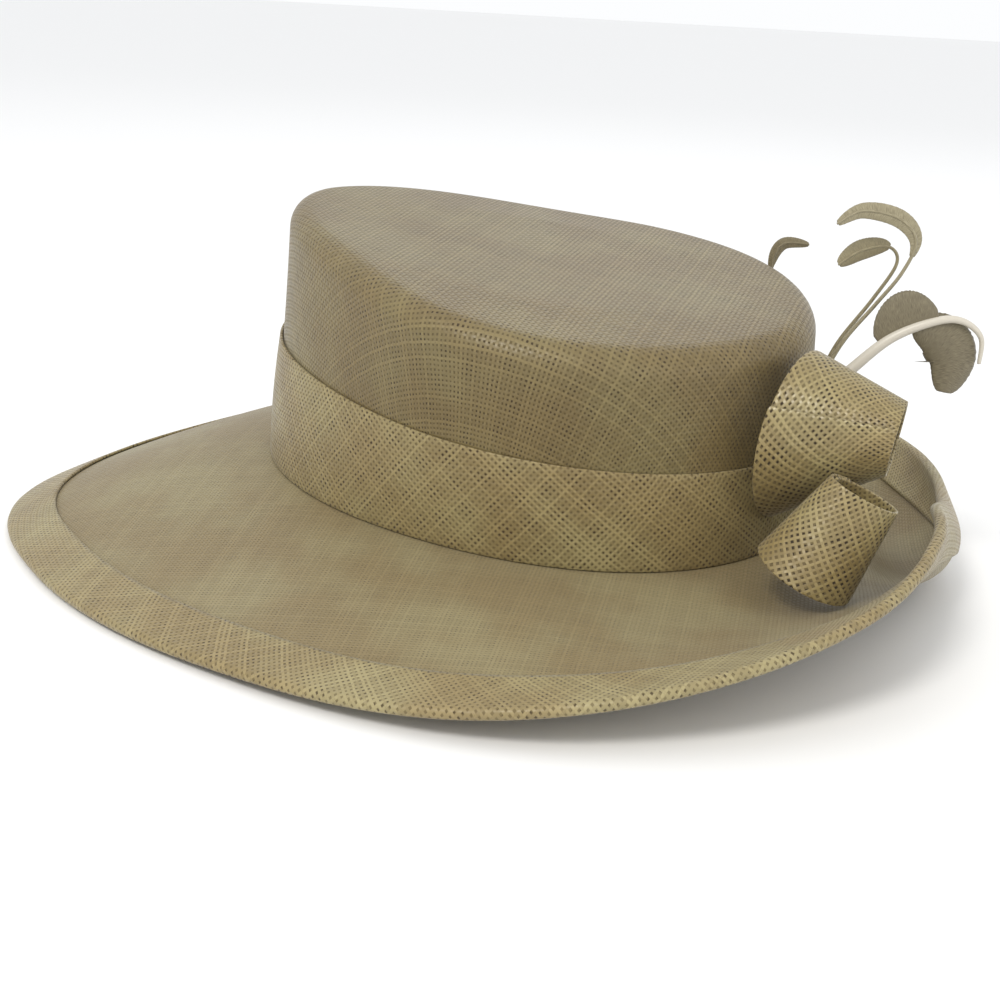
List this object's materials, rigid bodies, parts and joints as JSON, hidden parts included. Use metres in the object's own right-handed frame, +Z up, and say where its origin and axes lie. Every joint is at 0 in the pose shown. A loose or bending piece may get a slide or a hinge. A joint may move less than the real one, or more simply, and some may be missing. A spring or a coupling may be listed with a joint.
{
  "type": "woven straw occasion hat",
  "caption": "Wide-brimmed occasion hat of woven straw with a slanted oval crown, folded band, bound brim curled up at one side, rolled loops and curled feathers.",
  "frame": {"origin": "Bottom centre of the hat's bounding box, on the surface that the brim rests on.", "axes": "+Z up through the crown, +X towards the wearer's left, where the brim curls up beside the loops and feathers, -Y towards the near side of the brim."},
  "size_m": [0.348, 0.3622, 0.1343],
  "materials": {
    "crown_straw": "satin woven straw",
    "brim_straw": "satin woven straw",
    "band_straw": "satin woven straw",
    "binding_straw": "satin woven straw",
    "loop_straw": "glossy woven straw",
    "feather": "matte feather"
  },
  "bodies": {
    "root": {"brim": "brim_straw", "brim_binding": "binding_straw", "crown": "crown_straw", "feather_back": "feather", "feather_curl": "feather", "feather_quill": "feather", "feather_small": "feather", "hat_band": "band_straw", "loop_lower": "loop_straw", "loop_upper": "loop_straw"}
  },
  "joints": []
}
